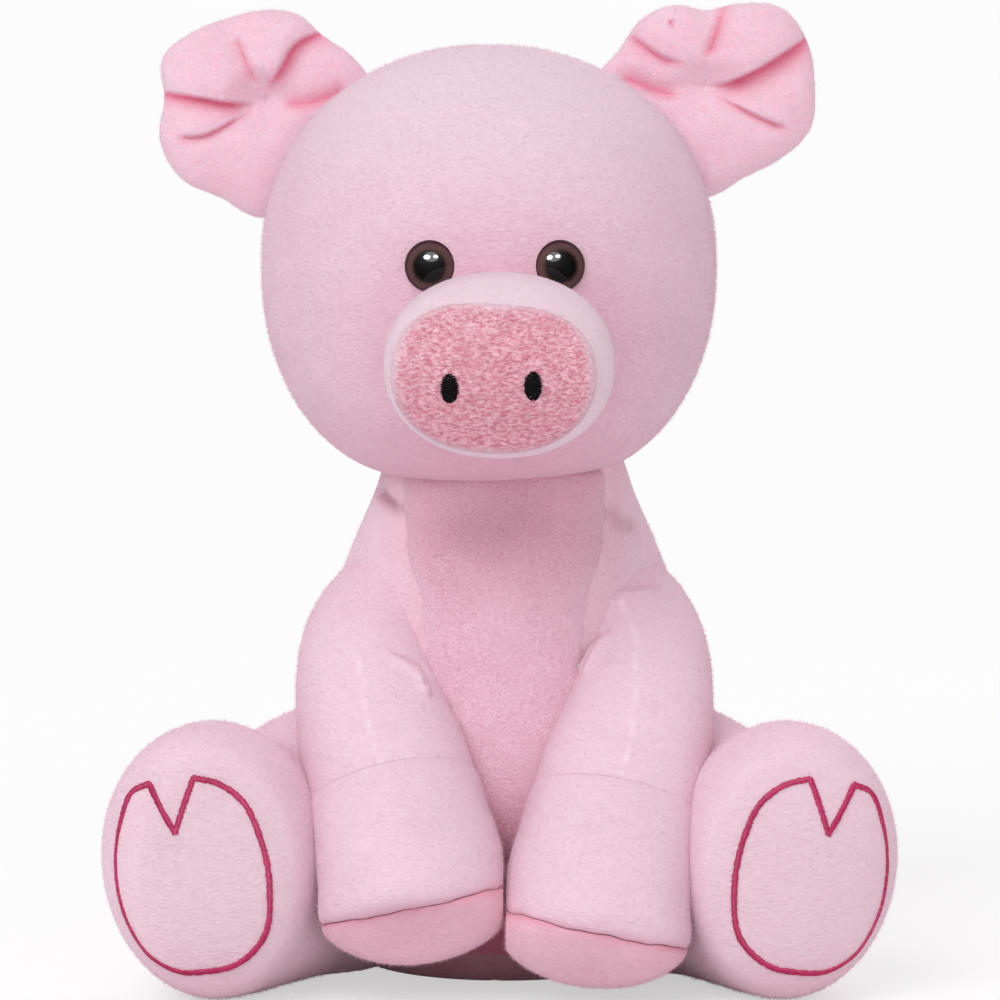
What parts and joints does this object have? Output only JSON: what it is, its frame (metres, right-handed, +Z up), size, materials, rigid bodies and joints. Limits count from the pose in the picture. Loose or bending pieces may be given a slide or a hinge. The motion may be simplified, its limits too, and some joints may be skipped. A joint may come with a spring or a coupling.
{
  "type": "plush pig",
  "caption": "Sitting stuffed pig in short pink pile, with a padded snout disk, folded ears, dome eyes, stuffed limbs with hoof ends and a curly tail",
  "frame": {"origin": "middle of the seat panel's underside, on the surface that the pig sits on", "axes": "+Z up, -Y is the way the pig faces, +X is the pig's own left"},
  "size_m": [0.2363, 0.1998, 0.2982],
  "materials": {
    "head_plush": "matte",
    "body_plush": "matte",
    "ear_plush": "matte",
    "belly_plush": "matte",
    "pale_plush": "matte",
    "snout_plush": "matte",
    "sole_plush": "matte",
    "print_thread": "satin",
    "nostril_thread": "satin",
    "eye_plastic": "gloss",
    "washer_plastic": "matte",
    "bag_lining": "matte"
  },
  "bodies": {
    "torso": {"torso": "body_plush", "belly_panel": "belly_plush", "seat_panel": "sole_plush", "pellet_bag": "bag_lining"},
    "head": {"head": "head_plush", "muzzle": "pale_plush", "snout_disk": "snout_plush", "nostril_left": "nostril_thread", "nostril_right": "nostril_thread", "eye_left": "eye_plastic", "eye_right": "eye_plastic", "eye_washer_left": "washer_plastic", "eye_washer_right": "washer_plastic"},
    "tail": {"tail": "body_plush"},
    "ear_left": {"ear_left": "ear_plush"},
    "arm_left": {"arm_left": "body_plush", "front_hoof_left": "pale_plush", "front_sole_left": "sole_plush"},
    "leg_left": {"leg_left": "body_plush", "hoof_print_left": "print_thread"},
    "ear_right": {"ear_right": "ear_plush"},
    "arm_right": {"arm_right": "body_plush", "front_hoof_right": "pale_plush", "front_sole_right": "sole_plush"},
    "leg_right": {"leg_right": "body_plush", "hoof_print_right": "print_thread"}
  },
  "joints": [
    {"name": "neck", "type": "hinge", "parent": "torso", "child": "head", "pos_m": [-0.0048, -0.006, 0.151], "axis": [0, 0, 1], "range_deg": [-30, 30], "stiffness_Nm_per_rad": 0.06},
    {"name": "tail_wag", "type": "hinge", "parent": "torso", "child": "tail", "pos_m": [0, 0.05989, 0.05508], "axis": [0, 0, 1], "range_deg": [-15, 15], "stiffness_Nm_per_rad": 0.003},
    {"name": "ear_left", "type": "hinge", "parent": "head", "child": "ear_left", "pos_m": [0.04651, 0.003, 0.25275], "axis": [-0.6018, 0, 0.7986], "range_deg": [-15, 15], "stiffness_Nm_per_rad": 0.01},
    {"name": "ear_right", "type": "hinge", "parent": "head", "child": "ear_right", "pos_m": [-0.05611, 0.003, 0.25275], "axis": [0.6018, 0, 0.7986], "range_deg": [-15, 15], "stiffness_Nm_per_rad": 0.01},
    {"name": "shoulder_left", "type": "hinge", "parent": "torso", "child": "arm_left", "pos_m": [0.03484, 0, 0.1242], "axis": [-1, 0, 0], "range_deg": [0, 45], "stiffness_Nm_per_rad": 0.04},
    {"name": "shoulder_right", "type": "hinge", "parent": "torso", "child": "arm_right", "pos_m": [-0.03484, 0, 0.1242], "axis": [-1, 0, 0], "range_deg": [0, 45], "stiffness_Nm_per_rad": 0.04},
    {"name": "hip_left", "type": "hinge", "parent": "torso", "child": "leg_left", "pos_m": [0.067, 0.01, 0.0415], "axis": [0, 0, 1], "range_deg": [0, 25], "stiffness_Nm_per_rad": 0.05},
    {"name": "hip_right", "type": "hinge", "parent": "torso", "child": "leg_right", "pos_m": [-0.067, 0.01, 0.0415], "axis": [0, 0, -1], "range_deg": [0, 25], "stiffness_Nm_per_rad": 0.05}
  ]
}
